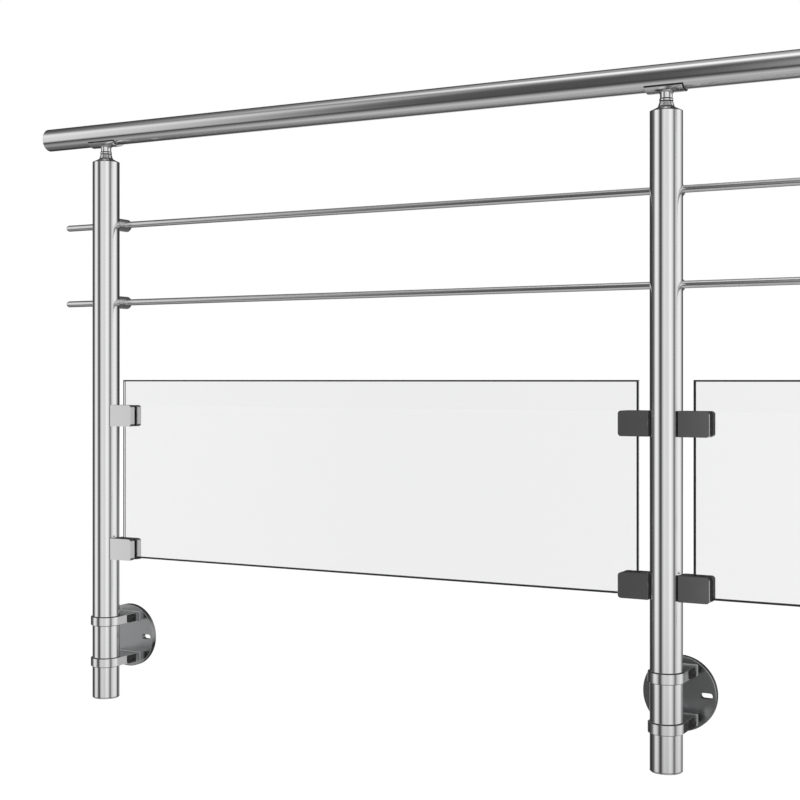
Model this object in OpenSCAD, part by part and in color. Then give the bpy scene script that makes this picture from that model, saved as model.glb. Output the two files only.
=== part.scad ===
// Side-mounted stainless steel railing with two clamped glass panes.
// Three round posts stand in front of a wall or slab edge, each held by two U-straps
// on a round wall flange. They carry a round handrail, two thin rods and two panes.
// X runs along the rail, +Y points to the wall and +Z is up. The origin is the centre
// of the middle flange's wall face, so the wall plane is Y = 0.

/* [Layout] */
// Distance from one post axis to the next
post_pitch = 1105; // [700:5:1400]
// Distance from the wall to the post axes
wall_gap = 76; // [74:1:110]
// Height of the glass top above the flange centres
glass_top = 497; // [470:1:600]

/* [Posts] */
// Outside diameter of the post tube
post_d = 50.8; // [42.4:0.1:54]
// Wall thickness of the post tube
post_wall = 2; // [1.5:0.1:2.6]
// Top of the post tube above the flange centres
post_top = 911.5; // [880:0.5:1100]
// Length of post tube below the flange centres
post_tail = 104.5; // [80:0.5:200]
// Thickness of the foot cap below the tube
foot_cap_t = 3; // [2:0.5:6]
// How far a cap's plug reaches into its tube
plug_l = 22; // [15:1:40]

/* [Post head] */
// Height of the sloping shoulder on the post's top cap
shoulder_h = 7.5; // [5:0.5:12]
// Diameter of the shoulder where the neck starts
neck_d = 26; // [24:0.5:28]
// Height of the tapered neck
neck_h = 8.5; // [5:0.5:12]
// Diameter of the collar under the stem
collar_d = 21.5; // [20:0.5:24]
// Height of the collar
collar_h = 4; // [3:0.5:9]
// Diameter of the stem under the handrail
stem_d = 19.5; // [14:0.5:20]
// Height of stem that shows between the collar and the cradle
stem_h = 9.3; // [5:0.1:40]
// Diameter of the spigot that stands in the top cap
spigot_d = 12; // [8:0.5:13]

/* [Handrail] */
// Outside diameter of the handrail tube
rail_d = 42.4; // [38:0.1:50.8]
// Wall thickness of the handrail tube
rail_wall = 2; // [1.5:0.1:2.6]
// How far the handrail tube runs past the end post axes
rail_overhang = 138; // [60:1:300]
// Straight rim of the handrail's end cap
rail_cap_rim = 2; // [1:0.5:5]
// Height of the end cap's dome
rail_cap_dome = 3; // [2:0.5:8]
// Length of the cradle plate under the handrail
cradle_l = 60; // [50:1:90]
// Thickness of the cradle plate
cradle_t = 3; // [2:0.5:5]
// Angle of handrail that the cradle plate wraps
cradle_angle = 92; // [60:1:150]
// Distance of each cradle screw from the post axis
cradle_screw_x = 22; // [19:0.5:24]

/* [Rods] */
// Diameter of the rods
rod_d = 12; // [8:0.5:14]
// Height from the glass top to the lower rod, and from rod to rod
rod_pitch = 150; // [100:1:180]
// How far the rods run past the end post axes
rod_overhang = 138; // [60:1:250]
// Distance from the post's surface to the rod's axis
rod_stand_off = 22.6; // [20:0.1:30]
// Diameter of the rod holder
holder_d = 24; // [22:0.5:28]
// Length of holder behind the rod's axis
holder_nose = 18; // [14:0.5:24]
// Chamfer on the holder's nose
holder_chamfer = 4; // [0.5:0.5:4]

/* [Glass] */
// Thickness of the glass
glass_t = 8; // [6:1:12]
// Height of the glass
glass_h = 335; // [320:1:400]
// Gap from the post's surface to the glass edge
glass_gap = 18.6; // [16:0.1:25]
// Flat ground on each edge of the glass
glass_arris = 1; // [0.5:0.5:2]

/* [Clamps] */
// Length of a clamp, away from the post
clamp_l = 49; // [45:1:60]
// Height of a clamp
clamp_h = 40; // [34:1:50]
// Thickness of each jaw
jaw_t = 11.5; // [8:0.5:14]
// Thickness of the rubber pad in each jaw
pad_t = 2; // [1:0.5:3]
// Depth of the post's hollow in the clamp's end
clamp_seat = 1.4; // [0.5:0.1:3]
// Corner radius at the glass end of a clamp
clamp_corner = 5.5; // [1:0.5:8]
// Edge radius on a clamp's faces at the glass end
clamp_edge = 0.5; // [0.5:0.5:3]
// Free space between the glass edge and the clamp's floor
clamp_floor_gap = 4; // [3:0.5:6]
// Upper clamp centre below the glass top
clamp_drop = 67.5; // [40:0.5:100]
// Distance between the upper and the lower clamp centre
clamp_pitch = 252; // [200:1:270]
// Distance of each cover screw from the clamp's middle height
cover_screw_z = 12; // [10:0.5:14]

/* [Wall bracket] */
// Diameter of the wall flange
flange_d = 120; // [114:1:150]
// Thickness of the wall flange
flange_t = 10; // [6:0.5:12]
// Radius round the front edge of the wall flange
flange_edge = 1; // [0.5:0.5:4]
// Length of an anchor slot, end to end
slot_l = 20; // [14:0.5:22]
// Width of an anchor slot
slot_w = 9; // [7:0.5:11]
// Distance of each anchor slot from the flange's centre
slot_x = 44; // [40:0.5:46]
// Depth of the bar that is welded to the flange
bar_depth = 14; // [10:0.5:16]
// Distance between the two straps of a post
strap_pitch = 78; // [50:1:90]
// Width of a strap, up and down
strap_w = 15; // [12:0.5:25]
// Thickness of a strap
strap_t = 3; // [2:0.5:5]
// Distance from the bar's front to the strap screws
strap_screw_gap = 11.5; // [11.2:0.1:16]
// Length of the washer plate under each strap screw, along the strap
washer_l = 22; // [16:1:22]
// Thickness of the washer plate
washer_t = 2.5; // [2:0.5:4]
// How far the saddle's tips stay behind the post axis
saddle_tip = 12; // [8:0.5:16]

/* [Screws] */
// Diameter of the strap screws
strap_screw_d = 8; // [6:1:8]
// Diameter of a strap screw's head
strap_head_d = 14; // [12:0.5:15]
// Height of a strap screw's head
strap_head_h = 4; // [3:0.5:6]
// Length of a strap screw under its head
strap_screw_l = 20; // [14:1:22]
// Diameter of the clamp's post screw
clamp_screw_d = 8; // [6:1:8]
// Diameter of the cover screws
cover_screw_d = 5; // [4:1:6]
// Length of a cover screw
cover_screw_l = 20; // [16:1:20]
// Diameter of the cradle screws
cradle_screw_d = 4; // [3:0.5:5]
// Length of a cradle screw
cradle_screw_l = 12; // [8:1:16]
// Diameter of the holder's post screw
holder_screw_d = 6; // [5:1:6]
// Diameter of that screw's round head
holder_head_d = 10; // [8:0.5:10.5]
// Diameter of the grub screw that holds the rod
grub_d = 12; // [11:1:12]

/* [Hidden] */
$fn = 96;

POSTS = ["left", "middle", "right"];
PANES = ["left", "right"];
LEVELS = ["upper", "lower"];
// Each clamp by its post, the side it is on and its name
CLAMPS = [[0, 1, "left_post"], [1, -1, "middle_post_left"], [1, 1, "middle_post_right"],
          [2, -1, "right_post"]];

// Clearance between round faces that seat on each other
seat = 0.1;
// Clearance round a screw in its hole
screw_play = 0.1;
// Clearance between a plug and its tube
plug_play = 0.1;
// Gap between a strap's end and the bar
strap_end_gap = 0.2;
// How far a cut runs past the face it opens
over = 1;
// Height of the blunt rim at the outside of the shoulder
shoulder_rim = 1;
// How hollow the shoulder is: 1 is a straight cone
shoulder_bend = 1.15;
// Corner radius of the washer plates
washer_corner = 1.5;
// How far a screw that ends inside a post reaches past its wall
screw_bite = 4;
// Free space between the head of a holder's screw and the rod
head_room = 1;
// Depth of the fine groove under the collar, and of a countersunk head below its surface
groove = 0.5;
// Angle of a countersunk head, from side to side
sink_angle = 90;
// A countersunk head's diameter, as a multiple of its screw
sink_ratio = 1.9;
// A socket's width and depth, as multiples of the screw's diameter
socket_ratio = 0.6;
socket_depth_ratio = 0.4;

post_r = post_d / 2;
rail_r = rail_d / 2;
neck_top = post_top + shoulder_h + neck_h;
collar_top = neck_top + collar_h;
rail_z = collar_top + stem_h + cradle_t + rail_r;
rail_half = post_pitch + rail_overhang;
rod_y = -wall_gap + post_r + rod_stand_off;
rod_half = post_pitch + rod_overhang;
strap_in = post_r + seat;
strap_out = strap_in + strap_t;
bar_front = wall_gap - flange_t - bar_depth;
strap_screw_y = bar_front - strap_screw_gap;
clamp_in = post_r - clamp_seat;
glass_edge = post_r + glass_gap;
clamp_floor = glass_edge - clamp_floor_gap;
slit_half = glass_t / 2 + pad_t;
clamp_half = slit_half + jaw_t;
cover_screw_x = (clamp_in + clamp_floor) / 2;
clamp_screw_reach = clamp_floor - post_r + post_wall + screw_bite;

function post_x(i) = (i - 1) * post_pitch;
function rod_z(k) = glass_top + (2 - k) * rod_pitch;
function strap_z(k) = (0.5 - k) * strap_pitch;
function clamp_z(k) = glass_top - clamp_drop - k * clamp_pitch;

// A cylinder along X or Y that starts at the origin
module x_rod(d, l) { rotate([0, 90, 0]) cylinder(d = d, h = l); }
module y_rod(d, l) { rotate([-90, 0, 0]) cylinder(d = d, h = l); }

// A countersunk screw with its flat head at the origin and its point at +Z
module sunk_screw(d, l) {
    head_d = sink_ratio * d;
    head_h = (head_d - d) / 2 / tan(sink_angle / 2);
    difference() {
        union() {
            cylinder(d1 = head_d, d2 = d, h = head_h);
            cylinder(d = d, h = l);
        }
        translate([0, 0, -over])
            cylinder(d = socket_ratio * d, h = socket_depth_ratio * d + over, $fn = 6);
    }
}

// The hole for a countersunk screw, open past the head by the given amount
module sunk_hole(d, l, open) {
    head_d = sink_ratio * d;
    head_h = (head_d - d) / 2 / tan(sink_angle / 2);
    cylinder(d1 = head_d + 2 * screw_play, d2 = d + 2 * screw_play, h = head_h);
    cylinder(d = d + 2 * screw_play, h = l);
    translate([0, 0, -open]) cylinder(d = head_d + 2 * screw_play, h = open);
}

// A ring on its side: the outline of a tube seen along its axis
module tube(d, wall, l) {
    difference() {
        cylinder(d = d, h = l);
        translate([0, 0, -over]) cylinder(d = d - 2 * wall, h = l + 2 * over);
    }
}

// Puts its children at a clamp, with X away from the post and Z = 0 at its middle
module at_clamp(c, k) {
    translate([post_x(c[0]), -wall_gap, clamp_z(k)])
        mirror([c[1] < 0 ? 1 : 0, 0, 0])
            children();
}

// Post: a round tube, drilled for the rod holders and for the clamps on its glass sides
module post_tube(i) {
    color([0.78, 0.79, 0.80])
    difference() {
        translate([post_x(i), -wall_gap, -post_tail]) tube(post_d, post_wall, post_top + post_tail);
        for (k = [0, 1])
            translate([post_x(i), -wall_gap, rod_z(k)]) y_rod(holder_screw_d + 2 * screw_play, post_d);
        for (c = CLAMPS, k = [0, 1])
            if (c[0] == i) at_clamp(c, k) x_rod(clamp_screw_d + 2 * screw_play, post_d);
    }
}

// Foot cap: a plug with a rim that closes the tube's lower end
module post_foot_cap(i) {
    plug_d = post_d - 2 * post_wall - 2 * plug_play;
    color([0.60, 0.61, 0.62])
    translate([post_x(i), -wall_gap, -post_tail - foot_cap_t])
    union() {
        cylinder(d1 = post_d - foot_cap_t, d2 = post_d, h = foot_cap_t / 2);
        translate([0, 0, foot_cap_t / 2]) cylinder(d = post_d, h = foot_cap_t / 2);
        cylinder(d = plug_d, h = foot_cap_t + plug_l);
    }
}

// The hollow curve of the shoulder, from the tube's edge up to the neck
function shoulder_points() = [for (t = [0 : 0.125 : 1])
    [neck_d / 2 + (post_d - neck_d) / 2 * pow(1 - t, shoulder_bend),
     shoulder_rim + (shoulder_h - shoulder_rim) * t]];

// Top cap: one turned piece with a plug, a sloping shoulder and a tapered neck
module post_top_cap(i) {
    plug_r = post_r - post_wall - plug_play;
    color([0.72, 0.73, 0.74])
    translate([post_x(i), -wall_gap, post_top])
    difference() {
        rotate_extrude()
        polygon(concat(
            [[0, -plug_l], [plug_r, -plug_l], [plug_r, 0], [post_r, 0]],
            shoulder_points(),
            [[collar_d / 2 - groove, shoulder_h + neck_h], [0, shoulder_h + neck_h]]));
        translate([0, 0, shoulder_h + neck_h - plug_l - seat])
            cylinder(d = spigot_d + 2 * seat, h = plug_l + over);
    }
}

// Rail saddle: a stem with a collar and a spigot, welded to a cradle plate under the handrail
module rail_saddle(i) {
    sector = rail_d + cradle_t * 2;
    color([0.74, 0.75, 0.76])
    translate([post_x(i), -wall_gap, 0])
    difference() {
        union() {
            translate([0, 0, neck_top - plug_l]) cylinder(d = spigot_d, h = plug_l);
            translate([0, 0, neck_top]) cylinder(d = collar_d - 2 * groove, h = groove);
            translate([0, 0, neck_top + groove]) cylinder(d = collar_d, h = collar_h - groove);
            translate([0, 0, collar_top]) cylinder(d = stem_d, h = stem_h + cradle_t + rail_r / 2);
            translate([-cradle_l / 2, 0, rail_z])
            rotate([90, 0, 90])
            linear_extrude(cradle_l)
            intersection() {
                circle(d = rail_d + 2 * cradle_t);
                polygon([[0, 0], [-sector * tan(cradle_angle / 2), -sector],
                         [sector * tan(cradle_angle / 2), -sector]]);
            }
        }
        translate([-cradle_l / 2 - over, 0, rail_z]) x_rod(rail_d + 2 * seat, cradle_l + 2 * over);
        for (s = [-1, 1]) translate([s * cradle_screw_x, 0, rail_z - rail_r - cradle_t + groove])
            sunk_hole(cradle_screw_d, cradle_t + over, groove + over);
    }
}

// Saddle screws: two countersunk screws at each post, up into the handrail
module saddle_screws() {
    color([0.55, 0.56, 0.57])
    for (i = [0 : 2], s = [-1, 1])
        translate([post_x(i) + s * cradle_screw_x, -wall_gap, rail_z - rail_r - cradle_t + groove])
            sunk_screw(cradle_screw_d, cradle_screw_l);
}

// Handrail: one round tube over all the posts
module handrail_tube() {
    color([0.76, 0.77, 0.78])
    difference() {
        translate([-rail_half, -wall_gap, rail_z]) rotate([0, 90, 0])
            tube(rail_d, rail_wall, 2 * rail_half);
        for (i = [0 : 2], s = [-1, 1])
            translate([post_x(i) + s * cradle_screw_x, -wall_gap, rail_z - rail_r - over])
                cylinder(d = cradle_screw_d + 2 * screw_play, h = rail_r);
    }
}

// Handrail end cap: a plug with a straight rim and a low dome
module handrail_end_cap(s) {
    dome_r = (rail_r * rail_r + rail_cap_dome * rail_cap_dome) / 2 / rail_cap_dome;
    plug_r = rail_r - rail_wall - plug_play;
    color([0.70, 0.71, 0.72])
    translate([s * rail_half, -wall_gap, rail_z])
    rotate([0, s * 90, 0])
    rotate_extrude()
    union() {
        translate([0, -plug_l]) square([plug_r, plug_l]);
        square([rail_r, rail_cap_rim]);
        intersection() {
            translate([0, rail_cap_rim + rail_cap_dome - dome_r]) circle(r = dome_r, $fn = 360);
            translate([0, rail_cap_rim]) square([rail_r, rail_cap_dome]);
        }
    }
}

// Wall flange: a disc with two anchor slots and two welded bars with saddles for the post
module wall_flange(i) {
    color([0.62, 0.63, 0.64])
    translate([post_x(i), 0, 0])
    difference() {
        union() {
            rotate([90, 0, 0]) flange_disc();
            for (k = [0, 1]) translate([0, -wall_gap, strap_z(k)]) saddle_bar();
        }
        for (x = [-1, 1]) translate([slot_x, 0, 0] * x)
            rotate([0, x < 0 ? 90 : 0, 0]) anchor_slot();
        for (k = [0, 1]) translate([0, -wall_gap, strap_z(k)]) {
            translate([0, 0, -strap_w]) cylinder(d = post_d + 2 * seat, h = 2 * strap_w);
            for (s = [-1, 1]) translate([0, strap_screw_y, 0]) rotate([0, s * 90, 0])
                translate([0, 0, strap_out + washer_t - strap_screw_l])
                    cylinder(d = strap_screw_d + 2 * screw_play, h = strap_screw_l);
        }
    }
}

// The disc of the wall flange, lying on Z = 0 with a rounded front edge
module flange_disc() {
    r = flange_d / 2;
    rotate_extrude()
    union() {
        square([r - flange_edge, flange_t]);
        square([r, flange_t - flange_edge]);
        translate([r - flange_edge, flange_t - flange_edge]) intersection() {
            circle(r = flange_edge);
            square(flange_edge);
        }
    }
}

// One bar with its saddle, centred on the post axis at its middle height
module saddle_bar() {
    translate([-strap_out, bar_front, -strap_w / 2]) cube([2 * strap_out, bar_depth + over, strap_w]);
    translate([-strap_in, saddle_tip, -strap_w / 2])
        cube([2 * strap_in, bar_front - saddle_tip + over, strap_w]);
}

// The cut of one anchor slot, along X and through the disc
module anchor_slot() {
    centre = (slot_l - slot_w) / 2;
    for (s = [-1, 1]) translate([s * centre, -flange_t - over, 0]) y_rod(slot_w, flange_t + 2 * over);
    translate([-centre, -flange_t - over, -slot_w / 2]) cube([2 * centre, flange_t + 2 * over, slot_w]);
}

// Post strap: a flat band bent to a U, round the post's front and back to the bar
module post_strap(i, k) {
    leg = bar_front - strap_end_gap;
    color([0.80, 0.81, 0.82])
    translate([post_x(i), -wall_gap, strap_z(k)])
    difference() {
        translate([0, 0, -strap_w / 2]) linear_extrude(strap_w)
        difference() {
            union() {
                circle(r = strap_out);
                translate([-strap_out, 0]) square([2 * strap_out, leg]);
            }
            circle(r = strap_in);
            translate([-strap_in, 0]) square([2 * strap_in, leg + over]);
        }
        translate([-2 * strap_out, strap_screw_y, 0])
            x_rod(strap_screw_d + 2 * screw_play, 4 * strap_out);
    }
}

// A button-head screw with the underside of its head at the origin and its point at -Z
module button_screw(d, l, head_d, head_h) {
    dome_r = (head_d * head_d / 4 + head_h * head_h) / 2 / head_h;
    difference() {
        union() {
            translate([0, 0, -l]) cylinder(d = d, h = l);
            rotate_extrude()
            intersection() {
                translate([0, head_h - dome_r]) circle(r = dome_r, $fn = 180);
                square([head_d / 2, head_h - groove]);
            }
        }
        translate([0, 0, head_h - socket_depth_ratio * d])
            cylinder(d = socket_ratio * d, h = d, $fn = 6);
    }
}

// Strap washers: a flat plate on each strap leg, under the screw, as tall as the strap
module strap_washers() {
    color([0.06, 0.06, 0.07])
    for (i = [0 : 2], k = [0, 1], s = [-1, 1])
        translate([post_x(i) + s * strap_out, strap_screw_y - wall_gap, strap_z(k)])
            rotate([0, s * 90, 0])
                linear_extrude(washer_t)
                difference() {
                    rounded_plate(strap_w, washer_l, washer_corner);
                    circle(d = strap_screw_d + 2 * screw_play);
                }
}

// A rectangle centred on the origin, with round corners
module rounded_plate(w, l, r) {
    square([w - 2 * r, l], center = true);
    square([w, l - 2 * r], center = true);
    for (a = [-1, 1], b = [-1, 1]) translate([a * (w / 2 - r), b * (l / 2 - r)]) circle(r = r);
}

// Strap screws: one through each washer plate and strap leg into the saddle
module strap_screws() {
    color([0.06, 0.06, 0.07])
    for (i = [0 : 2], k = [0, 1], s = [-1, 1])
        translate([post_x(i) + s * (strap_out + washer_t), strap_screw_y - wall_gap, strap_z(k)])
            rotate([0, s * 90, 0])
                button_screw(strap_screw_d, strap_screw_l - screw_play, strap_head_d, strap_head_h);
}

// Rod: one solid round bar with domed ends, behind all the posts
module rod(k) {
    r = rod_d / 2;
    color([0.66, 0.67, 0.68])
    translate([-rod_half, rod_y, rod_z(k)])
    rotate([0, 90, 0])
    rotate_extrude()
    union() {
        translate([0, r]) square([r, 2 * rod_half - 2 * r]);
        for (z = [r, 2 * rod_half - r]) translate([0, z]) intersection() {
            circle(r = r);
            translate([0, -r]) square([r, 2 * r]);
        }
    }
}

// Rod holder: a turned stub on the post's back, with a cross bore for the rod and a
// stepped bore for its own screw and for the grub screw
module rod_holder(i, k) {
    nose = post_r + rod_stand_off + holder_nose;
    color([0.68, 0.69, 0.70])
    translate([post_x(i), -wall_gap, rod_z(k)])
    difference() {
        rotate([-90, 0, 0]) union() {
            cylinder(d = holder_d, h = nose - holder_chamfer);
            translate([0, 0, nose - holder_chamfer])
                cylinder(d1 = holder_d, d2 = holder_d - 2 * holder_chamfer, h = holder_chamfer);
        }
        translate([0, 0, -holder_d]) cylinder(d = post_d + 2 * seat, h = 2 * holder_d);
        translate([-holder_d, post_r + rod_stand_off, 0]) x_rod(rod_d + 2 * seat, 2 * holder_d);
        y_rod(holder_screw_d + 2 * screw_play, nose);
        translate([0, holder_seat(), 0]) y_rod(grub_d + 2 * screw_play, nose);
    }
}

// Where the head of a holder's own screw rests, measured from the post axis
function holder_seat() = post_r + rod_stand_off - rod_d / 2 - seat - holder_screw_d - head_room;

// Rod holder screws: a cap screw into each post, and a grub screw behind each rod
module rod_holder_screws() {
    reach = holder_seat() - post_r + post_wall + screw_bite;
    grub_l = holder_nose - rod_d / 2 - seat - groove;
    color([0.50, 0.51, 0.52])
    for (i = [0 : 2], k = [0, 1])
        translate([post_x(i), -wall_gap, rod_z(k)]) {
            translate([0, holder_seat() - reach, 0]) y_rod(holder_screw_d, reach);
            difference() {
                translate([0, holder_seat(), 0]) y_rod(holder_head_d, holder_screw_d);
                translate([0, holder_seat() + holder_screw_d / 2, 0]) rotate([-90, 0, 0])
                    cylinder(d = socket_ratio * holder_screw_d, h = holder_screw_d, $fn = 6);
            }
            difference() {
                translate([0, post_r + rod_stand_off + rod_d / 2 + seat, 0]) y_rod(grub_d, grub_l);
                translate([0, post_r + rod_stand_off + rod_d / 2 + grub_l / 2, 0]) rotate([-90, 0, 0])
                    cylinder(d = grub_d / 2, h = grub_l, $fn = 6);
            }
        }
}

// Glass pane: one clear sheet between two posts, with all its edges ground flat
module glass_pane(j) {
    w = post_pitch - 2 * glass_edge;
    a = glass_arris;
    t = glass_t;
    color([0.86, 0.92, 0.92, 0.35])
    translate([post_x(j) + glass_edge, -wall_gap, glass_top - glass_h])
    intersection() {
        linear_extrude(glass_h) arrised(w, t, a);
        translate([0, 0, glass_h]) rotate([0, 90, 0]) linear_extrude(w) arrised(glass_h, t, a);
    }
}

// A long rectangle from X = 0, centred on Y, with its four corners cut at 45 degrees
module arrised(w, t, a) {
    polygon([[a, -t / 2], [w - a, -t / 2], [w, a - t / 2], [w, t / 2 - a],
             [w - a, t / 2], [a, t / 2], [0, t / 2 - a], [0, a - t / 2]]);
}

// The outline of a clamp from its front: square at the post and rounded at the glass end
module clamp_outline(l, h, r) {
    translate([0, -h / 2]) square([l - r, h]);
    translate([0, -h / 2 + r]) square([l, h - 2 * r]);
    for (s = [-1, 1]) translate([l - r, s * (h / 2 - r)]) circle(r = r);
}

// The solid that both halves of a clamp are cut from, hollowed to seat on the post and
// bored for the screw that holds it there
module clamp_blank() {
    difference() {
        intersection() {
            translate([clamp_in, clamp_half, 0]) rotate([90, 0, 0])
                linear_extrude(2 * clamp_half) clamp_outline(clamp_l, clamp_h, clamp_corner);
            translate([clamp_in, 0, -clamp_h]) linear_extrude(2 * clamp_h)
                clamp_outline(clamp_l, 2 * clamp_half, clamp_edge);
        }
        translate([0, 0, -clamp_h]) cylinder(d = post_d + 2 * seat, h = 2 * clamp_h);
        translate([clamp_floor - groove, 0, 0]) rotate([0, -90, 0])
            sunk_hole(clamp_screw_d, clamp_screw_reach, groove + over);
    }
}

// Clamp body: the front jaw and the block on the post, in one piece
module clamp_body(c, k) {
    color([0.70, 0.71, 0.72])
    at_clamp(c, k)
    difference() {
        clamp_blank();
        translate([0, slit_half, -clamp_h]) cube([2 * clamp_l, clamp_half, 2 * clamp_h]);
        translate([clamp_floor, -slit_half, -clamp_h]) cube([clamp_l, 2 * clamp_half, 2 * clamp_h]);
        for (s = [-1, 1]) translate([cover_screw_x, clamp_half - screw_play, s * cover_screw_z])
            rotate([90, 0, 0]) cylinder(d = cover_screw_d + 2 * screw_play, h = cover_screw_l);
    }
}

// Clamp cover: the wall-side jaw, held by two countersunk screws
module clamp_cover(c, k) {
    color([0.70, 0.71, 0.72])
    at_clamp(c, k)
    difference() {
        clamp_blank();
        translate([0, slit_half - 2 * clamp_half, -clamp_h])
            cube([2 * clamp_l, 2 * clamp_half, 2 * clamp_h]);
        for (s = [-1, 1]) translate([cover_screw_x, clamp_half - groove, s * cover_screw_z])
            rotate([90, 0, 0]) sunk_hole(cover_screw_d, clamp_half, groove + over);
    }
}

// Clamp pads: two rubber sheets in each clamp of a pane, between the jaws and the glass
module clamp_pads(j) {
    inset = groove;
    color([0.07, 0.07, 0.07])
    for (c = CLAMPS, k = [0, 1])
        if (c[0] == j && c[1] > 0 || c[0] == j + 1 && c[1] < 0)
            at_clamp(c, k)
                for (y = [-slit_half, glass_t / 2])
                    translate([clamp_floor, y + pad_t, 0]) rotate([90, 0, 0]) linear_extrude(pad_t)
                        clamp_outline(clamp_in + clamp_l - clamp_floor - inset,
                                      clamp_h - 2 * inset, clamp_corner);
}

// Clamp screws: in each clamp one screw into the post and two that hold the cover
module clamp_screws() {
    color([0.55, 0.56, 0.57])
    for (c = CLAMPS, k = [0, 1]) at_clamp(c, k) {
        translate([clamp_floor - groove, 0, 0]) rotate([0, -90, 0])
            sunk_screw(clamp_screw_d, clamp_screw_reach - groove);
        for (s = [-1, 1]) translate([cover_screw_x, clamp_half - groove, s * cover_screw_z])
            rotate([90, 0, 0]) sunk_screw(cover_screw_d, cover_screw_l - groove);
    }
}

handrail_tube();
saddle_screws();
for (j = [0, 1])
    handrail_end_cap(2 * j - 1);
for (i = [0 : 2]) {
    post_tube(i);
    post_foot_cap(i);
    post_top_cap(i);
    rail_saddle(i);
    wall_flange(i);
    for (k = [0, 1]) {
        post_strap(i, k);
        rod_holder(i, k);
    }
}
strap_washers();
strap_screws();
rod_holder_screws();
for (k = [0, 1])
    rod(k);
for (j = [0, 1]) {
    glass_pane(j);
    clamp_pads(j);
}
for (c = CLAMPS, k = [0, 1]) {
    clamp_body(c, k);
    clamp_cover(c, k);
}
clamp_screws();
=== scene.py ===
"""A side-mounted stainless railing with clamped glass panes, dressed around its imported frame."""
import math

import bpy
import numpy as np
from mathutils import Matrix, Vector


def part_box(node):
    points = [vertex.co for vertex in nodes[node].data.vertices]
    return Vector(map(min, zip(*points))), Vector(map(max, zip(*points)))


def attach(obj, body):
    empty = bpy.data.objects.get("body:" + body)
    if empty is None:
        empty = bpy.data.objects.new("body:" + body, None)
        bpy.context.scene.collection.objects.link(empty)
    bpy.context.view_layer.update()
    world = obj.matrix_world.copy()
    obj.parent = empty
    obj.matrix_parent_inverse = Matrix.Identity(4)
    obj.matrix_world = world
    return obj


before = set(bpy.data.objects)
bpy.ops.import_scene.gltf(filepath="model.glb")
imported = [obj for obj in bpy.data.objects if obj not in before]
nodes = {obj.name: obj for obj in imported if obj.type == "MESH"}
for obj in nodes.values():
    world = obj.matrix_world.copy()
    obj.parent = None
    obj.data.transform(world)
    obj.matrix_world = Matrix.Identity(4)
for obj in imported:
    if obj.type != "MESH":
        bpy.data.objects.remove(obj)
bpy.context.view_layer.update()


# Camera. The photograph was taken level with the top of the glass, from the front and
# to the right of the middle post, turned to the left. The picture's frame is shifted
# down a little, which keeps the posts upright.
EYE = (0.6916, -2.2297, 0.4970)
TURN_LEFT = math.radians(28.29)
LENS = 64.74
SENSOR = 36.0
SHIFT_UP = -0.025

lens_data = bpy.data.cameras.new("camera")
lens_data.sensor_width = SENSOR
lens_data.lens = LENS
lens_data.shift_y = SHIFT_UP
camera = bpy.data.objects.new("camera", lens_data)
camera.location = EYE
camera.rotation_euler = (math.pi / 2, 0, TURN_LEFT)
bpy.context.scene.collection.objects.link(camera)
bpy.context.scene.camera = camera
bpy.context.scene.view_settings.view_transform = "Standard"


# Room. A white studio with dark screens round it, and a low light behind. The camera, and
# the glass it looks through, see plain white. The steel mirrors the walls and screens, by
# degrees round the room from the front to the right, and by degrees of height off level.
WALLS = [
    (-180, 0.05), (-137, 0.06), (-104, 0.05), (-91, 0.12), (-80, 0.16), (-74, 0.32),
    (-66, 0.86), (-58, 1.06), (-44, 0.90), (-39, 0.74), (-34, 0.44), (-29, 0.11),
    (-21, 0.08), (-17, 0.09), (-14, 0.20), (-10, 0.50), (-5, 0.72), (5, 0.90),
    (22, 0.80), (33, 0.86), (44, 1.12), (57, 0.92), (64, 0.70), (71, 0.20),
    (76, 0.18), (84, 0.56), (91, 0.84), (118, 1.08), (130, 0.92), (146, 0.44),
    (158, 0.05),
]
BACK_LIGHT = [(-180, 0.50), (-146, 0.55), (-137, 0), (166, 0), (180, 0.50)]
BACK_LIGHT_SHOWS = [(-90, 0), (-30, 0), (-18, 1), (-5, 1), (0, 0), (90, 0)]
WALL_SHOWS = [(-90, 0), (-23, 0), (-17, 0.66), (-8, 1), (30, 1), (46, 0), (90, 0)]
ABOVE_AND_BELOW = [
    (-90, 0.56), (-68, 0.46), (-54, 0.60), (-45, 0.46), (-37, 0.28), (-30, 0.13),
    (-24, 0.06), (-18, 0.06), (20, 0.10), (38, 0.20), (47, 0.27), (56, 0.72),
    (64, 1.25), (75, 1.05), (90, 0.74),
]
TOWARDS_BACK = [
    (-180, 0.30), (-150, 0.34), (-125, 0.32), (-105, 0.32), (-88, 0.34), (-76, 0.58),
    (-64, 0.92), (-54, 1), (70, 1), (110, 0.70), (150, 0.38), (180, 0.30),
]
OVERHEAD = (math.radians(68), math.radians(88))
UNDERFOOT = (math.radians(48), math.radians(72))
SOFT_LIGHT = 0.72


def link(tree, output, target):
    """Joins an output of one shader node to an input of another."""
    tree.links.new(output, target)


def math_node(tree, operation, *values):
    """A Math node in the tree, with each input a number or another node's output."""
    node = tree.nodes.new("ShaderNodeMath")
    node.operation = operation
    for socket, value in zip(node.inputs, values):
        if isinstance(value, (int, float)):
            socket.default_value = value
        else:
            link(tree, value, socket)
    return node.outputs[0]


def blend_node(tree, factor, a, b):
    """The value a where factor is 0 and b where it is 1, each a number or an output."""
    node = tree.nodes.new("ShaderNodeMix")
    node.data_type = "FLOAT"
    for name, value in (("Factor", factor), ("A", a), ("B", b)):
        socket = next(s for s in node.inputs if s.name == name and s.enabled)
        if isinstance(value, (int, float)):
            socket.default_value = value
        else:
            link(tree, value, socket)
    return next(s for s in node.outputs if s.enabled)


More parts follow.
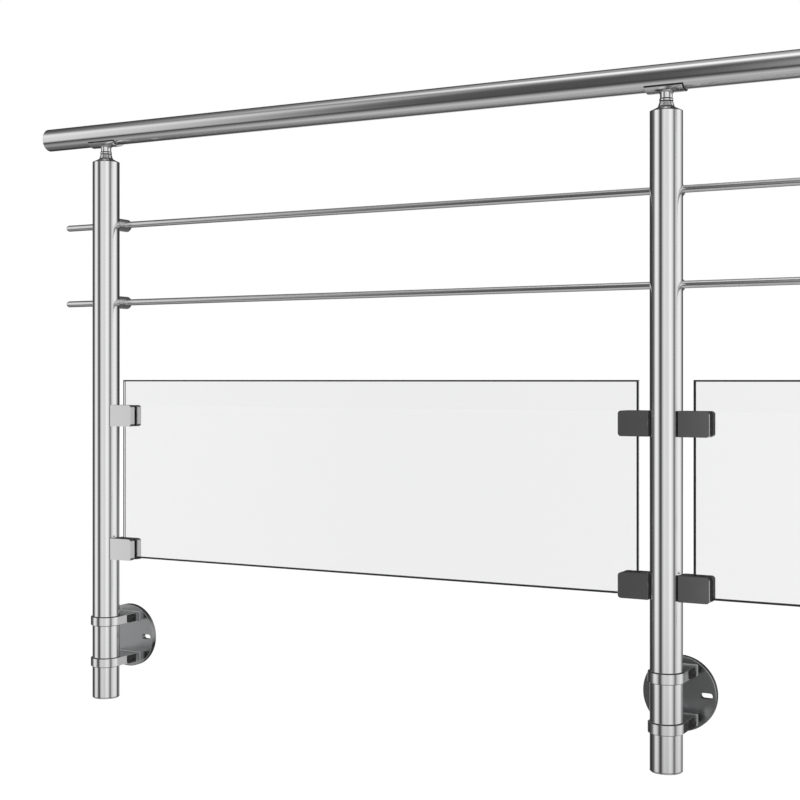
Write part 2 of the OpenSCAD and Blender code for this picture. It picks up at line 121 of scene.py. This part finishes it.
def smooth_node(tree, value, low, high):
    """Rises smoothly from 0 where value is low to 1 where it is high."""
    node = tree.nodes.new("ShaderNodeMapRange")
    node.interpolation_type = "SMOOTHSTEP"
    link(tree, value, node.inputs["Value"])
    node.inputs["From Min"].default_value = low
    node.inputs["From Max"].default_value = high
    return node.outputs["Result"]


def grey_ramp(tree, factor, stops):
    """Greys read by factor, straight between stops of (position from 0 to 1, grey)."""
    node = tree.nodes.new("ShaderNodeValToRGB")
    elements = node.color_ramp.elements
    while len(elements) < len(stops):
        elements.new(0.5)
    for element, (position, _) in zip(elements, stops):
        element.position = position
    for element, (_, grey) in zip(elements, stops):
        element.color = (grey, grey, grey, 1)
    link(tree, factor, node.inputs["Fac"])
    return node.outputs["Color"]


world = bpy.data.worlds.new("studio")
bpy.context.scene.world = world
world.use_nodes = True
room = world.node_tree
room.nodes.clear()
split = room.nodes.new("ShaderNodeSeparateXYZ")
link(room, room.nodes.new("ShaderNodeTexCoord").outputs["Generated"], split.inputs[0])
round_angle = math_node(room, "ARCTAN2", split.outputs["X"],
                        math_node(room, "MULTIPLY", split.outputs["Y"], -1))
tilt = math_node(room, "ARCSINE", split.outputs["Z"])
turn = math_node(room, "ADD", math_node(room, "DIVIDE", round_angle, 2 * math.pi), 0.5)
rise = math_node(room, "ADD", math_node(room, "DIVIDE", tilt, math.pi), 0.5)


def by_turn(stops):
    """Greys by the angle round the room, from -180 to 180 degrees."""
    return grey_ramp(room, turn, [(angle / 360 + 0.5, grey) for angle, grey in stops])


def by_rise(stops):
    """Greys by the height off level, from -90 to 90 degrees."""
    return grey_ramp(room, rise, [(angle / 180 + 0.5, grey) for angle, grey in stops])


walls, wall_shows = by_turn(WALLS), by_rise(WALL_SHOWS)
off_level, to_back = by_rise(ABOVE_AND_BELOW), by_turn(TOWARDS_BACK)
all_round = math_node(room, "MAXIMUM", smooth_node(room, tilt, *OVERHEAD),
                      smooth_node(room, math_node(room, "MULTIPLY", tilt, -1), *UNDERFOOT))
shaded = math_node(room, "MULTIPLY", off_level, blend_node(room, all_round, to_back, 1.0))
back_light, back_shows = by_turn(BACK_LIGHT), by_rise(BACK_LIGHT_SHOWS)
mirrored = math_node(room, "MAXIMUM", blend_node(room, wall_shows, shaded, walls),
                     math_node(room, "MULTIPLY", back_light, back_shows))
path = room.nodes.new("ShaderNodeLightPath").outputs
looks = math_node(room, "MAXIMUM", path["Is Camera Ray"], path["Is Transmission Ray"])
by_mirror = math_node(room, "MINIMUM", path["Glossy Depth"], 1.0)
sky = room.nodes.new("ShaderNodeBackground")
link(room, blend_node(room, by_mirror, blend_node(room, looks, SOFT_LIGHT, 1.0), mirrored),
     sky.inputs["Color"])
link(room, sky.outputs[0], room.nodes.new("ShaderNodeOutputWorld").inputs["Surface"])


# Lamp. One wide soft light from the left, in front and above. It lights the rubber, the
# black screws and the floor, and is left out of what the steel mirrors.
LAMP_FROM = (math.radians(42), 0, math.radians(-38))
LAMP_WIDTH = math.radians(35)
LAMP_STRENGTH = 1.15

sun_data = bpy.data.lights.new("soft lamp", "SUN")
sun_data.energy = LAMP_STRENGTH
sun_data.angle = LAMP_WIDTH
sun = bpy.data.objects.new("soft lamp", sun_data)
sun.rotation_euler = LAMP_FROM
sun.visible_glossy = False
bpy.context.scene.collection.objects.link(sun)


# Floor. A plain pale floor a long step below the feet of the posts, because the railing
# hangs on its wall. It renders white and keeps the railing's shadow. The steel doesn't
# mirror it, also not through the glass, and from below it is clear.
FLOOR_Z = -0.9
FLOOR_HALF = 60.0
FLOOR_PALE = 0.82
FLOOR_GLOW = 0.20


def new_material(name):
    """A new material with its node tree and its shader node."""
    material = bpy.data.materials.new(name)
    material.use_nodes = True
    tree = material.node_tree
    return material, tree, tree.nodes["Principled BSDF"]


floor_mesh = bpy.data.meshes.new("floor")
corners = np.array([[-1, -1], [1, -1], [1, 1], [-1, 1]]) * FLOOR_HALF
corners = np.column_stack([corners, np.full(4, FLOOR_Z)])
floor_mesh.from_pydata(corners.tolist(), [], [(0, 1, 2, 3)])
floor = bpy.data.objects.new("floor", floor_mesh)
bpy.context.scene.collection.objects.link(floor)
floor.visible_glossy = False
floor_paint, tree, shader = new_material("pale floor")
shader.inputs["Base Color"].default_value = (FLOOR_PALE, FLOOR_PALE, FLOOR_PALE, 1)
shader.inputs["Roughness"].default_value = 0.9
shader.inputs["Specular IOR Level"].default_value = 0
shader.inputs["Emission Color"].default_value = (1, 1, 1, 1)
path = tree.nodes.new("ShaderNodeLightPath").outputs
looks = math_node(tree, "MAXIMUM", path["Is Camera Ray"], path["Is Transmission Ray"])
link(tree, math_node(tree, "MULTIPLY", looks, FLOOR_GLOW), shader.inputs["Emission Strength"])
by_mirror = math_node(tree, "MINIMUM", path["Glossy Depth"], 1.0)
from_below = tree.nodes.new("ShaderNodeNewGeometry").outputs["Backfacing"]
unseen = math_node(tree, "MAXIMUM", by_mirror, from_below)
link(tree, math_node(tree, "SUBTRACT", 1.0, unseen), shader.inputs["Alpha"])
floor_mesh.materials.append(floor_paint)


# Post tubes and foot caps. Each post is a 50.8 mm round tube of stainless steel, closed
# below by a thin cap. The tube is ground on a belt machine while it turns, which leaves
# fine rings round it, and cloudy places where the belt bore harder.
TUBE_STEEL = (0.80, 0.80, 0.805)
RING_SCALE = (55, 55, 2600)
CLOUD_SCALE = 14.0
FOOT_Z = -0.1045
STRAP_Z = 0.039
STRAP_HALF = 0.0075


def add_sockets(group, inputs, outputs):
    """Gives a node group its sockets: inputs of (name, type, value), outputs of (name, type)."""
    for name, kind, value in inputs:
        socket = group.interface.new_socket(name, in_out="INPUT", socket_type=kind)
        if value is not None:
            socket.default_value = value
    for name, kind in outputs:
        group.interface.new_socket(name, in_out="OUTPUT", socket_type=kind)


def noise_node(tree, vector, scale, detail):
    """Cloudy noise from 0 to 1, at that many clouds for each metre of the vector."""
    node = tree.nodes.new("ShaderNodeTexNoise")
    node.inputs["Scale"].default_value = scale
    node.inputs["Detail"].default_value = detail
    link(tree, vector, node.inputs["Vector"])
    return node.outputs["Fac"]


def build_grain():
    """Ground steel. Grain is noise on stretched coordinates, and clouds are noise on plain ones.

    Roughness = Roughness + Spread x (grain - 1/2) + Clouds x (clouds - 1/2)
    Colour = Colour x (1 + Shade x (clouds - 1/2)), and Height = grain.
    """
    group = bpy.data.node_groups.new("ground grain", "ShaderNodeTree")
    add_sockets(group, [
        ("Grain Vector", "NodeSocketVector", None), ("Cloud Vector", "NodeSocketVector", None),
        ("Colour", "NodeSocketColor", (0.8, 0.8, 0.8, 1)), ("Roughness", "NodeSocketFloat", 0.2),
        ("Spread", "NodeSocketFloat", 0.05), ("Clouds", "NodeSocketFloat", 0.05),
        ("Shade", "NodeSocketFloat", 0.05),
    ], [
        ("Colour", "NodeSocketColor"), ("Roughness", "NodeSocketFloat"),
        ("Height", "NodeSocketFloat"),
    ])
    inside = group.nodes.new("NodeGroupInput").outputs
    outside = group.nodes.new("NodeGroupOutput").inputs
    grain = noise_node(group, inside["Grain Vector"], 1.0, 3)
    cloud = noise_node(group, inside["Cloud Vector"], CLOUD_SCALE, 3)
    off_grain = math_node(group, "SUBTRACT", grain, 0.5)
    off_cloud = math_node(group, "SUBTRACT", cloud, 0.5)
    rough = math_node(group, "MULTIPLY_ADD", off_grain, inside["Spread"], inside["Roughness"])
    rough = math_node(group, "MULTIPLY_ADD", off_cloud, inside["Clouds"], rough)
    link(group, rough, outside["Roughness"])
    shade = group.nodes.new("ShaderNodeVectorMath")
    shade.operation = "SCALE"
    link(group, inside["Colour"], shade.inputs[0])
    cloudy = math_node(group, "MULTIPLY_ADD", off_cloud, inside["Shade"], 1.0)
    link(group, cloudy, shade.inputs["Scale"])
    link(group, shade.outputs[0], outside["Colour"])
    link(group, grain, outside["Height"])
    return group


def build_seam_shade():
    """Painted shade along a joint: a dark line that stands in for the contact shadow where two
    parts or two steps meet.

    Unshaded = 0 where |Way| is under 0.6 of Width, rising smoothly to 1 at Width. Colour and
    Roughness go from those of the painted shade to those of the steel by it.
    """
    group = bpy.data.node_groups.new("painted seam shade", "ShaderNodeTree")
    add_sockets(group, [
        ("Way", "NodeSocketFloat", 1.0), ("Width", "NodeSocketFloat", 0.001),
        ("Colour", "NodeSocketColor", (0.8, 0.8, 0.8, 1)), ("Roughness", "NodeSocketFloat", 0.2),
        ("Painted Shade", "NodeSocketColor", (0.02, 0.02, 0.02, 1)),
        ("Painted Shade Roughness", "NodeSocketFloat", 0.6),
    ], [
        ("Colour", "NodeSocketColor"), ("Roughness", "NodeSocketFloat"),
        ("Unshaded", "NodeSocketFloat"),
    ])
    inside = group.nodes.new("NodeGroupInput").outputs
    outside = group.nodes.new("NodeGroupOutput").inputs
    share = math_node(group, "DIVIDE", math_node(group, "ABSOLUTE", inside["Way"]), inside["Width"])
    unshaded = smooth_node(group, share, 0.6, 1.0)
    colour = group.nodes.new("ShaderNodeMix")
    colour.data_type = "RGBA"
    link(group, unshaded, colour.inputs["Factor"])
    ends = {socket.name: socket for socket in colour.inputs if socket.type == "RGBA"}
    link(group, inside["Painted Shade"], ends["A"])
    link(group, inside["Colour"], ends["B"])
    blended = next(socket for socket in colour.outputs if socket.type == "RGBA")
    link(group, blended, outside["Colour"])
    rough = blend_node(group, unshaded, inside["Painted Shade Roughness"], inside["Roughness"])
    link(group, rough, outside["Roughness"])
    link(group, unshaded, outside["Unshaded"])
    return group


def object_place(tree):
    """The place on the piece, in metres."""
    return tree.nodes.new("ShaderNodeTexCoord").outputs["Object"]


def grain_node(tree, place, scale, colour, **values):
    """The grain in a material: scale stretches it along each axis, in marks to the metre, and
    values are for the group's other inputs by name."""
    stretch = tree.nodes.new("ShaderNodeMapping")
    stretch.inputs["Scale"].default_value = scale
    link(tree, place, stretch.inputs["Vector"])
    grain = tree.nodes.new("ShaderNodeGroup")
    grain.node_tree = GRAIN
    link(tree, stretch.outputs[0], grain.inputs["Grain Vector"])
    link(tree, place, grain.inputs["Cloud Vector"])
    grain.inputs["Colour"].default_value = (*colour, 1)
    for socket, value in values.items():
        grain.inputs[socket].default_value = value
    return grain


def ground_steel(name, colour, scale, roughness, spread, clouds, shade, depth,
                 seam=None, width=0.001):
    """Bare steel with a ground face, whose grain is depth metres deep.

    seam gives the way from the nearest joint, and width is how far the painted shade along it
    reaches, both in metres.
    """
    material, tree, shader = new_material(name)
    shader.inputs["Metallic"].default_value = 1
    place = object_place(tree)
    grain = grain_node(tree, place, scale, colour, Roughness=roughness, Spread=spread,
                       Clouds=clouds, Shade=shade)
    bump = tree.nodes.new("ShaderNodeBump")
    bump.inputs["Distance"].default_value = depth
    link(tree, grain.outputs["Height"], bump.inputs["Height"])
    link(tree, bump.outputs[0], shader.inputs["Normal"])
    last = grain
    # Where a seam is given, painted shade darkens a thin line along it.
    if seam:
        last = tree.nodes.new("ShaderNodeGroup")
        last.node_tree = SEAM_SHADE
        link(tree, grain.outputs["Colour"], last.inputs["Colour"])
        link(tree, grain.outputs["Roughness"], last.inputs["Roughness"])
        link(tree, seam(tree, place), last.inputs["Way"])
        last.inputs["Width"].default_value = width
        link(tree, last.outputs["Unshaded"], shader.inputs["Metallic"])
    link(tree, last.outputs["Colour"], shader.inputs["Base Color"])
    link(tree, last.outputs["Roughness"], shader.inputs["Roughness"])
    return material


def axis_node(tree, place, axis):
    """One coordinate of a place."""
    split = tree.nodes.new("ShaderNodeSeparateXYZ")
    link(tree, place, split.inputs[0])
    return split.outputs[axis]


def level_seams(*heights):
    """The way to the nearest of some levels: the least of |z - level|."""
    def way(tree, place):
        z = axis_node(tree, place, "Z")
        near = None
        for height in heights:
            off = math_node(tree, "SUBTRACT", z, height)
            off = math_node(tree, "ABSOLUTE", off)
            near = off if near is None else math_node(tree, "MINIMUM", near, off)
        return near
    return way


def finish(material, *starts):
    """Gives the material to every CAD node whose name starts with one of the words."""
    for name, node in nodes.items():
        if name.startswith(starts):
            node.material_slots[0].material = material


def leave_unmirrored(*starts):
    """Keeps the CAD nodes whose name starts with one of the words out of what the steel
    mirrors, so that flanges, clamps and posts are of even greys, as in the photograph."""
    for name, node in nodes.items():
        if name.startswith(starts):
            node.visible_glossy = False


GRAIN = build_grain()
SEAM_SHADE = build_seam_shade()
strap_edges = [side * STRAP_Z + edge * STRAP_HALF for side in (-1, 1) for edge in (-1, 1)]
# The seams paint shade: a thin dark ring at each strap's top and bottom edge on the tube.
post_steel = ground_steel(
    "ground post steel", TUBE_STEEL, RING_SCALE, roughness=0.11, spread=0.05, clouds=0.05,
    shade=0.05, depth=4e-6, seam=level_seams(*strap_edges), width=0.0019)
finish(post_steel, "post_tube")
leave_unmirrored("post_tube")
# The seam paints shade: a thin dark ring where the foot cap meets the tube.
foot_steel = ground_steel(
    "foot cap steel", (0.72, 0.72, 0.725), RING_SCALE, roughness=0.22, spread=0.06,
    clouds=0.05, shade=0.05, depth=5e-6, seam=level_seams(FOOT_Z), width=0.0008)
finish(foot_steel, "post_foot_cap")


# Post heads. A turned cap with a sloping shoulder and a tapered neck carries the rail
# saddle: a turned collar and stem, welded under a curved cradle plate. The lathe leaves
# fine rings. The weld is a small bead round the stem, with the ripple of each dip.
FITTING_STEEL = (0.78, 0.78, 0.785)
WELD_STEEL = (0.60, 0.60, 0.605)
LATHE_SCALE = (70, 70, 3200)
POST_PITCH = 1.105
POST_XS = (-POST_PITCH, 0.0, POST_PITCH)
POST_Y = -0.076
TUBE_TOP, SHOULDER_TOP, NECK_TOP, COLLAR_TOP = 0.9115, 0.9190, 0.9275, 0.9315
STEM_D = 0.0195
STEM_STEPS = 240
CRADLE_T = 0.003
STEM_LEG = 0.0013
RIPPLE = 0.0014
SWELL = 0.10
ARC_STEPS = 9


def carried(points):
    """A closed ring of faces over a grid of points: the rows go round a closed path, and each
    row is a closed outline."""
    rows, across = points.shape[:2]
    index = np.arange(rows * across).reshape(rows, across)
    right = np.roll(index, -1, axis=1)
    down = np.roll(index, -1, axis=0)
    corner = np.roll(right, -1, axis=0)
    faces = np.stack([index, right, corner, down], axis=-1).reshape(-1, 4)
    return points.reshape(-1, 3), faces


def piece(name, material, parts):
    """One smooth mesh object from parts of (points, faces), riding on the railing."""
    mesh = bpy.data.meshes.new(name)
    starts = np.cumsum([0] + [len(points) for points, _ in parts])
    faces = np.concatenate([faces + start for (_, faces), start in zip(parts, starts)])
    points = np.concatenate([points for points, _ in parts])
    mesh.from_pydata(points.tolist(), [], faces.tolist())
    mesh.polygons.foreach_set("use_smooth", np.ones(len(faces), bool))
    mesh.materials.append(material)
    obj = bpy.data.objects.new(name, mesh)
    bpy.context.scene.collection.objects.link(obj)
    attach(obj, "root")
    return obj


def bead(corner, out, up, leg):
    """A weld bead in the corner between two faces, on a closed path.

    corner is the path, and out and up are unit directions along the two faces, all arrays
    of rows. Across the bead, a point is corner + leg x (out cos a + up sin a) for a from
    0 to 90 degrees, closed through the corner. leg swells and narrows with each ripple:
    leg x (1 + SWELL |sin(pi s / ripple)|), with s the way along the path.
    """
    toe = corner + leg * out
    step = np.linalg.norm(np.roll(toe, -1, axis=0) - corner - leg * out, axis=1)
    s = np.concatenate([[0], np.cumsum(step)])
    ripples = np.round(s[-1] / RIPPLE)
    swell = leg * (1 + SWELL * np.abs(np.sin(math.pi * ripples * s[:-1] / s[-1])))
    a = np.linspace(0, math.pi / 2, ARC_STEPS)
    arc = out[:, None] * np.cos(a)[None, :, None] + up[:, None] * np.sin(a)[None, :, None]
    skin = corner[:, None] + swell[:, None, None] * arc
    return carried(np.concatenate([corner[:, None], skin], axis=1))


def stem_bead(post_x):
    """The bead round a stem, where it meets the underside of the round cradle plate.

    With the angle t round the stem, the corner is stem radius x (cos t, sin t), at the
    height of the plate's underside over that spot: rail axis - sqrt(R^2 - y^2).
    """
    t = np.linspace(0, 2 * math.pi, STEM_STEPS, endpoint=False)
    ring = np.column_stack([np.cos(t), np.sin(t), np.zeros_like(t)])
    stem_r = STEM_D / 2

    def under(radius):
        spot = ring * radius
        spot[:, 2] = RAIL_Z - np.sqrt(PLATE_R ** 2 - spot[:, 1] ** 2)
        return spot + (post_x, POST_Y, 0)

    out = under(stem_r + STEM_LEG) - under(stem_r)
    out /= np.linalg.norm(out, axis=1)[:, None]
    up = np.tile((0.0, 0.0, -1.0), (len(t), 1))
    return bead(under(stem_r), out, up, STEM_LEG)


tube_low, tube_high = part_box("handrail_tube")
RAIL_Z = (tube_low.z + tube_high.z) / 2
PLATE_R = (tube_high.z - tube_low.z) / 2 + CRADLE_T
# The seams paint shade: thin dark rings at the tube's top edge, the shoulder and the neck.
turned_steel = ground_steel(
    "turned cap steel", FITTING_STEEL, LATHE_SCALE, roughness=0.15, spread=0.07, clouds=0.04,
    shade=0.04, depth=4e-6, seam=level_seams(TUBE_TOP, SHOULDER_TOP, NECK_TOP), width=0.0013)
finish(turned_steel, "post_top_cap")
# The seams paint shade: thin dark rings at the neck and the collar.
saddle_steel = ground_steel(
    "turned saddle steel", FITTING_STEEL, LATHE_SCALE, roughness=0.15, spread=0.07,
    clouds=0.04, shade=0.04, depth=4e-6, seam=level_seams(NECK_TOP, COLLAR_TOP), width=0.0013)
finish(saddle_steel, "rail_saddle")
weld_steel = ground_steel(
    "weld steel", WELD_STEEL, (900, 900, 900), roughness=0.34, spread=0.10, clouds=0.10,
    shade=0.10, depth=1e-5)
piece("stem_welds", weld_steel, [stem_bead(x) for x in POST_XS])


# Handrail. A 42.4 mm tube with a turned, slightly domed cap in each end, ground and then
# brushed round, so its fine marks run round the tube.
RAIL_R = 0.0212
PLATE_HALF = (0.030, 0.0170)


def from_post(tree, place):
    """The way along the rail from the nearest post: x, wrapped at half way between posts."""
    along = tree.nodes.new("ShaderNodeMath")
    along.operation = "WRAP"
    link(tree, axis_node(tree, place, "X"), along.inputs[0])
    along.inputs[1].default_value = POST_PITCH / 2
    along.inputs[2].default_value = -POST_PITCH / 2
    return along.outputs[0]


def plate_seam(tree, place):
    """The way outwards from the nearest cradle plate, over the handrail's surface.

    Along the rail it is |x from the nearest post| - half the plate, and round the rail it
    is rail radius x the angle from straight down - half the plate's arc. The greater counts.
    """
    by_x = math_node(tree, "ABSOLUTE", from_post(tree, place))
    by_x = math_node(tree, "SUBTRACT", by_x, PLATE_HALF[0])
    y = math_node(tree, "SUBTRACT", axis_node(tree, place, "Y"), POST_Y)
    down = math_node(tree, "SUBTRACT", RAIL_Z, axis_node(tree, place, "Z"))
    turned = math_node(tree, "ARCTAN2", math_node(tree, "ABSOLUTE", y), down)
    by_arc = math_node(tree, "MULTIPLY", turned, RAIL_R)
    by_arc = math_node(tree, "SUBTRACT", by_arc, PLATE_HALF[1])
    return math_node(tree, "MAXIMUM", by_x, by_arc)


# The plate seam paints shade: a thin dark line on the rail round the edge of each cradle plate.
rail_steel = ground_steel(
    "ground handrail steel", TUBE_STEEL, (2600, 55, 55), roughness=0.12, spread=0.05,
    clouds=0.05, shade=0.05, depth=4e-6, seam=plate_seam, width=0.0021)
finish(rail_steel, "handrail_tube")
cap_steel = ground_steel(
    "end cap steel", FITTING_STEEL, (200, 200, 200), roughness=0.17, spread=0.05,
    clouds=0.05, shade=0.04, depth=3e-6)
finish(cap_steel, "handrail_end_cap")
screw_steel = ground_steel(
    "plain screw steel", (0.62, 0.62, 0.63), (1500, 1500, 1500), roughness=0.26, spread=0.08,
    clouds=0.05, shade=0.05, depth=4e-6)
finish(screw_steel, "saddle_screws", "rod_holder_screws", "clamp_screws")


# Rods and rod holders. The two rods are 12 mm bars with domed ends, drawn and polished
# lengthways. Each holder is a turned stub behind a post, bored across for the rod.
rod_steel = ground_steel(
    "drawn rod steel", TUBE_STEEL, (40, 2600, 2600), roughness=0.17, spread=0.06,
    clouds=0.04, shade=0.04, depth=3e-6)
finish(rod_steel, "rod_upper", "rod_lower")
holder_steel = ground_steel(
    "turned holder steel", TUBE_STEEL, (70, 3200, 70), roughness=0.32, spread=0.08,
    clouds=0.04, shade=0.04, depth=5e-6)
finish(holder_steel, "rod_holder_left", "rod_holder_middle", "rod_holder_right")


# Wall brackets. Each flange is a round plate with two saddle bars, welded on all round
# and brushed to an even satin. Two bright straps go round the post, held by black
# screws over black washer plates.
FLANGE_STEEL = (0.41, 0.415, 0.42)
FLANGE_FACE = -0.010
BAR_HALF = (0.0285, STRAP_HALF)
BAR_LEG = 0.0020
SIDE_STEPS = 60
TURN_STEPS = 8
SCREW_BLACK = (0.014, 0.014, 0.015)


def bar_bead(post_x, bar_z):
    """The bead round a bar on the flange.

    The bead's corner goes round a rectangle. At each of its corners it stays while the way
    out turns by 90 degrees, so that the bead goes round as a fan.
    """
    straight = np.linspace(-1, 1, SIDE_STEPS)
    turn_in = np.linspace(0, math.pi / 2, TURN_STEPS + 2)[1:-1]
    corner, out = [], []
    for quarter in range(4):
        c, s = math.cos(quarter * math.pi / 2), math.sin(quarter * math.pi / 2)
        wide, tall = BAR_HALF if quarter % 2 == 0 else BAR_HALF[::-1]
        side = np.column_stack([np.full(SIDE_STEPS, wide), tall * straight])
        side = np.concatenate([side, np.tile((wide, tall), (TURN_STEPS, 1))])
        way = np.column_stack([np.concatenate([np.ones(SIDE_STEPS), np.cos(turn_in)]),
                               np.concatenate([np.zeros(SIDE_STEPS), np.sin(turn_in)])])
        spin = np.array([[c, s], [-s, c]])
        corner.append(side @ spin)
        out.append(way @ spin)
    corner, out = np.concatenate(corner), np.concatenate(out)
    flat = np.zeros(len(corner))
    corner = np.column_stack([post_x + corner[:, 0], flat + FLANGE_FACE, bar_z + corner[:, 1]])
    out = np.column_stack([out[:, 0], flat, out[:, 1]])
    up = np.column_stack([flat, flat - 1, flat])
    points, faces = bead(corner, out, up, BAR_LEG)
    return points, faces[:, ::-1]


flange_steel = ground_steel(
    "satin flange steel", FLANGE_STEEL, (1400, 1400, 1400), roughness=0.23, spread=0.06,
    clouds=0.05, shade=0.06, depth=4e-6)
finish(flange_steel, "wall_flange")
strap_steel = ground_steel(
    "strap steel", TUBE_STEEL, (55, 55, 2400), roughness=0.15, spread=0.06, clouds=0.05,
    shade=0.04, depth=4e-6)
finish(strap_steel, "post_strap")
piece("flange_welds", weld_steel,
      [bar_bead(x, z) for x in POST_XS for z in (-STRAP_Z, STRAP_Z)])

black_screw, tree, shader = new_material("black screw")
shader.inputs["Metallic"].default_value = 0.0
grain = grain_node(tree, object_place(tree), (2200, 2200, 2200), SCREW_BLACK,
                   Roughness=0.42, Spread=0.15, Shade=0.5)
link(tree, grain.outputs["Colour"], shader.inputs["Base Color"])
link(tree, grain.outputs["Roughness"], shader.inputs["Roughness"])
finish(black_screw, "strap_screws", "strap_washers")


# Glass panes. Each pane is one clear 8 mm sheet. Its edges are polished flat, and the
# sharp corner at each face is taken off by a 1 mm bevel. The wheel leaves a fine matt
# line beside it all round both faces, and in front the bevel is matt too. Both are
# painted near black, as painted shade for the dark line along the pane's edge.
GLASS_TINT = 0.908
BEVEL = 0.001
BEVEL_LAP = 0.0017
BEVEL_GAP = 0.00002
BEVEL_SKIN = 0.00006
EDGE_SHADE_DARK = (0.012, 0.014, 0.014)
MITRE = 0.4142
HAZE_LOW = (GLASS_TINT - 0.002, GLASS_TINT, GLASS_TINT, 1)
HAZE_HIGH = (GLASS_TINT + 0.002, GLASS_TINT + 0.004, GLASS_TINT + 0.004, 1)

clear_glass, tree, shader = new_material("clear glass")
shader.inputs["Metallic"].default_value = 0
shader.inputs["Transmission Weight"].default_value = 1
shader.inputs["IOR"].default_value = 1.5
haze = noise_node(tree, object_place(tree), 9.0, 2)
tint = tree.nodes.new("ShaderNodeMix")
tint.data_type = "RGBA"
tint.inputs["A"].default_value = HAZE_LOW
tint.inputs["B"].default_value = HAZE_HIGH
link(tree, haze, tint.inputs["Factor"])
link(tree, tint.outputs["Result"], shader.inputs["Base Color"])
link(tree, math_node(tree, "MULTIPLY", haze, 0.004), shader.inputs["Roughness"])
finish(clear_glass, "glass_pane")
leave_unmirrored("glass_pane")


def edge_shade_line(low, high, facing):
    """The matt line round one face of a pane, as a thin skin just off the glass, painted near
    black as painted shade for the dark line along the pane's edge.

    Its outline is points on the glass, then the same points pushed out by the skin. Each is
    (inset from the pane's outline, depth from its face), carried round the rectangle's four
    corners. At the back it is a lap on the face, and in front also the bevel and a lap on
    the edge. Where two flats meet at 45 degrees, a point is pushed by tan 22.5 degrees, MITRE.
    """
    lay = np.array([[BEVEL + BEVEL_LAP, 0], [BEVEL, 0], [0, BEVEL], [0, BEVEL + BEVEL_LAP]])
    push = np.array([[0, -1], [-MITRE, -1], [-1, -MITRE], [-1, 0]])
    if facing > 0:
        lay, push = lay[:2], np.array([[0, -1], [0, -1]])
    outer = lay + push * (BEVEL_GAP + BEVEL_SKIN)
    outline = np.concatenate([lay + push * BEVEL_GAP, outer[::-1]])
    inset, depth = outline.T
    signs = np.array([[-1, -1], [1, -1], [1, 1], [-1, 1]])
    middle = np.array([(low.x + high.x) / 2, (low.z + high.z) / 2])
    half = np.array([(high.x - low.x) / 2, (high.z - low.z) / 2])
    spot = middle + signs[:, None, :] * (half - inset[None, :, None])
    face = low.y if facing < 0 else high.y
    y = np.broadcast_to(face - facing * depth, spot.shape[:2])
    points, faces = carried(np.stack([spot[..., 0], y, spot[..., 1]], axis=-1))
    return points, faces if facing > 0 else faces[:, ::-1]


edge_shade_paint, tree, shader = new_material("matt glass edge painted dark")
# Painted shade: the matt skin is coloured near black for the dark line along the pane's edge.
shader.inputs["Base Color"].default_value = (*EDGE_SHADE_DARK, 1)
frosting = noise_node(tree, object_place(tree), 900.0, 2)
link(tree, math_node(tree, "MULTIPLY_ADD", frosting, 0.2, 0.5), shader.inputs["Roughness"])
for side in ("left", "right"):
    low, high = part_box("glass_pane_" + side)
    lines = piece("glass_edge_shade_" + side, edge_shade_paint,
                  [edge_shade_line(low, high, facing) for facing in (-1, 1)])
    lines.visible_glossy = False
    flat = np.zeros(len(lines.data.polygons), bool)
    lines.data.polygons.foreach_set("use_smooth", flat)


# Clamps. Each is a cast steel block in two halves with rounded corners, ground on its
# flat faces, with a black rubber pad on each side of the glass. It seats on its post.
CLAMP_STEEL = (0.79, 0.79, 0.795)
POST_R = 0.0254
PAD_GREYS = [(0.3, 0.035), (0.7, 0.055)]


def seat_seam(tree, place):
    """The way out from the nearest post's surface: sqrt(x^2 + y^2) - post radius, with x and
    y from the post's axis."""
    x = from_post(tree, place)
    y = math_node(tree, "SUBTRACT", axis_node(tree, place, "Y"), POST_Y)
    off = math_node(tree, "MULTIPLY_ADD", y, y, math_node(tree, "MULTIPLY", x, x))
    return math_node(tree, "SUBTRACT", math_node(tree, "SQRT", off), POST_R)


# The seat seam paints shade: a dark band on each clamp next to the post's surface, reaching 4.5 mm
# out.
clamp_steel = ground_steel(
    "ground clamp steel", CLAMP_STEEL, (50, 50, 2200), roughness=0.10, spread=0.05,
    clouds=0.04, shade=0.04, depth=3e-6, seam=seat_seam, width=0.0045)
finish(clamp_steel, "clamp_body", "clamp_cover")

pad_rubber, tree, shader = new_material("black rubber")
speckle = noise_node(tree, object_place(tree), 1800.0, 3)
link(tree, grey_ramp(tree, speckle, PAD_GREYS), shader.inputs["Base Color"])
link(tree, math_node(tree, "MULTIPLY_ADD", speckle, 0.2, 0.68), shader.inputs["Roughness"])
bump = tree.nodes.new("ShaderNodeBump")
bump.inputs["Distance"].default_value = 2e-5
link(tree, speckle, bump.inputs["Height"])
link(tree, bump.outputs[0], shader.inputs["Normal"])
finish(pad_rubber, "clamp_pads")
